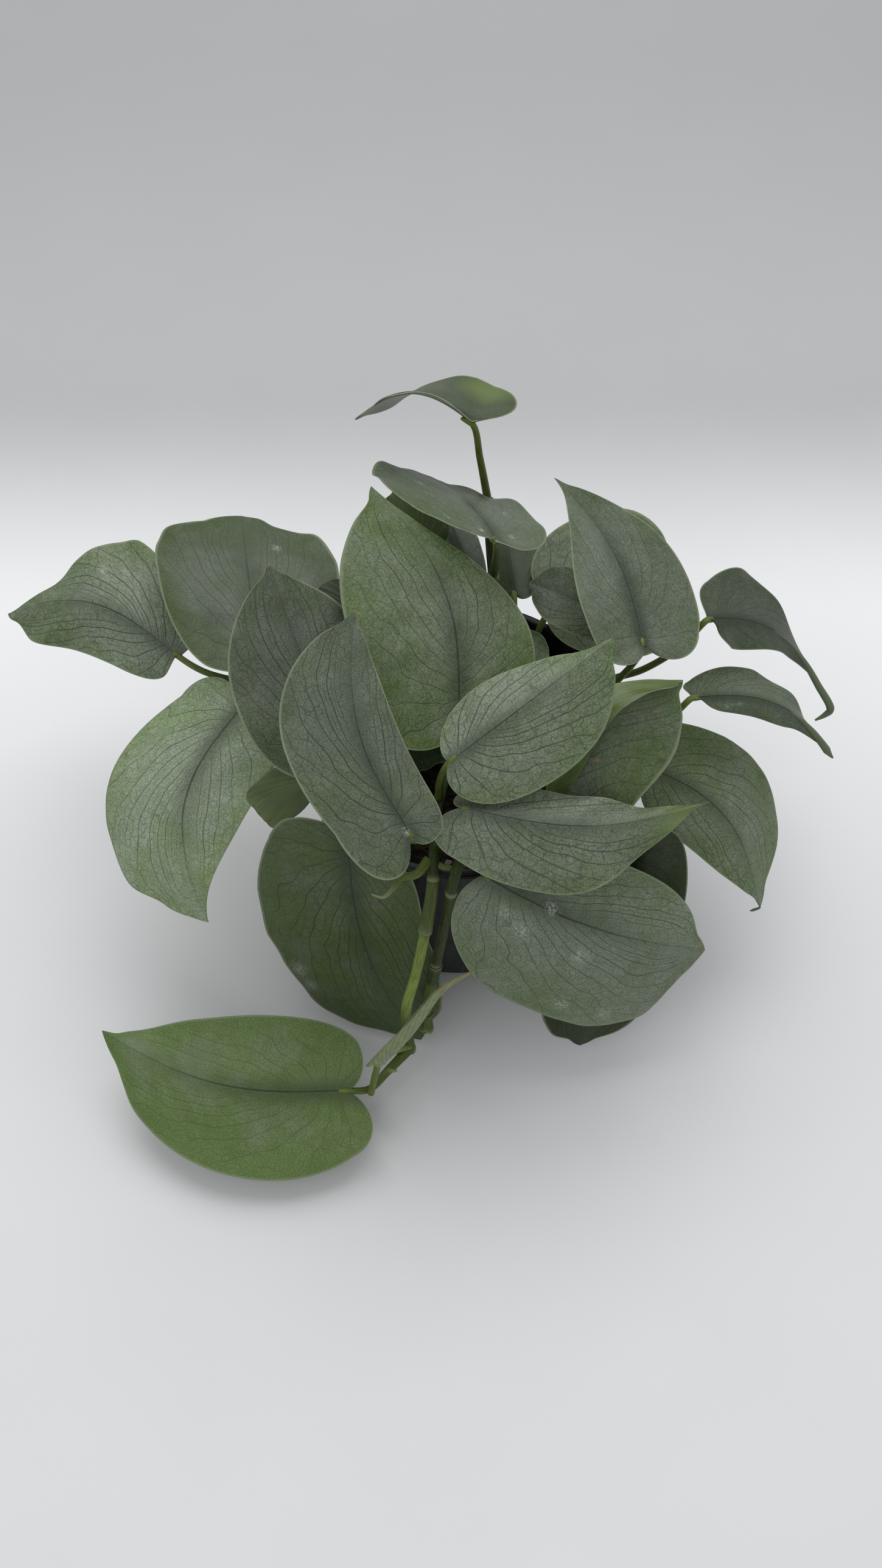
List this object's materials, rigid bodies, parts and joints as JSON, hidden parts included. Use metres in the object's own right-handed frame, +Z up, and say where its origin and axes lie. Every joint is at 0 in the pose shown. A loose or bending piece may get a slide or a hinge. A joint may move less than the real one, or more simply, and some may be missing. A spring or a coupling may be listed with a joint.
{
  "type": "potted satin pothos",
  "caption": "Young satin pothos with broad silvery heart-shaped leaves, standing and trailing from a round nursery pot filled with soil.",
  "frame": {"origin": "centre of the pot's flat base, on the surface it stands on", "axes": "+Z up, -Y towards the front, where two vines hang over the rim, +X to the right seen from the front"},
  "size_m": [0.2825, 0.2333, 0.1676],
  "materials": {
    "pot": "black moulded plastic with a faint sheen",
    "soil": "dark damp potting mix",
    "stem": "smooth fleshy green stem",
    "leaf": "satin, silvery grey green above and yellow green below",
    "young_leaf": "soft satin pale green"
  },
  "bodies": {
    "root": {"pot": "pot", "soil": "soil", "front_vine": "stem", "side_vine": "stem", "back_stem": "stem", "leaf_top": "leaf", "leaf_back_silver": "leaf", "leaf_upright": "leaf", "leaf_far_left": "leaf", "leaf_left_broad": "leaf", "leaf_left_grey": "leaf", "leaf_front_left": "leaf", "leaf_left_hanging": "leaf", "leaf_low_left": "leaf", "leaf_young_green": "leaf", "leaf_centre": "leaf", "leaf_front_pointed": "leaf", "leaf_front_right": "leaf", "leaf_low_right": "leaf", "leaf_right_hanging": "leaf", "leaf_folded": "leaf", "leaf_right_upright": "leaf", "leaf_back_green": "leaf", "leaf_right_small": "leaf", "leaf_right_curled": "leaf", "leaf_right_narrow": "leaf", "leaf_back_dark": "leaf", "leaf_back_left_dark": "leaf", "leaf_inner_centre": "leaf", "leaf_inner_left": "leaf", "leaf_low_far_left": "leaf", "leaf_inner_front": "leaf", "leaf_back_narrow": "leaf", "leaf_back_left": "leaf", "leaf_inner_back": "leaf", "leaf_furled": "young_leaf"}
  },
  "joints": []
}
